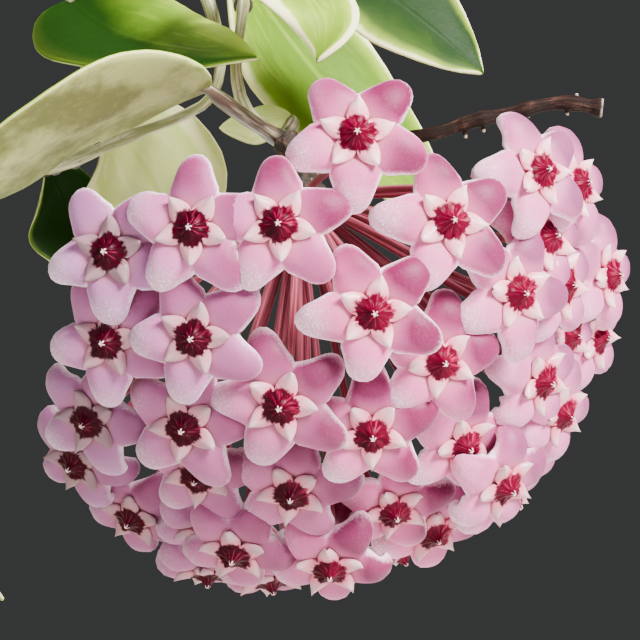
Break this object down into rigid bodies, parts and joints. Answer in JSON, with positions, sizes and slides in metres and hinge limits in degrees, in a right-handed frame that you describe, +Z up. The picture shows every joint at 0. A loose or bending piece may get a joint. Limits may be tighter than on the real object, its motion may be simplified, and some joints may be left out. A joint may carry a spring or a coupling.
{
  "type": "potted hoya plant",
  "caption": "Trailing hoya with fleshy cream-edged leaves and a hanging domed head of pink star florets, in a plain round tapered pot filled with mix.",
  "frame": {"origin": "middle of the underside of the pot, on the surface that it stands on", "axes": "+Z up; the picture looks along +Y at the flower head, which hangs at +X; +X to the picture's right"},
  "size_m": [0.3292, 0.3267, 0.3254],
  "materials": {
    "terracotta": "matte",
    "potting_mix": "matte",
    "foliage": "satin",
    "petals": "satin",
    "dry_stem": "matte"
  },
  "bodies": {
    "root": {"pot": "terracotta", "soil": "potting_mix", "vine_front_left": "foliage", "vine_back_left": "foliage", "vine_back": "foliage", "vine_front_right": "foliage", "vine_back_right": "foliage", "vine_left": "foliage", "vine_flowering": "foliage", "vine_climbing": "foliage", "flower_head": "petals", "dry_twig": "dry_stem"}
  },
  "joints": []
}
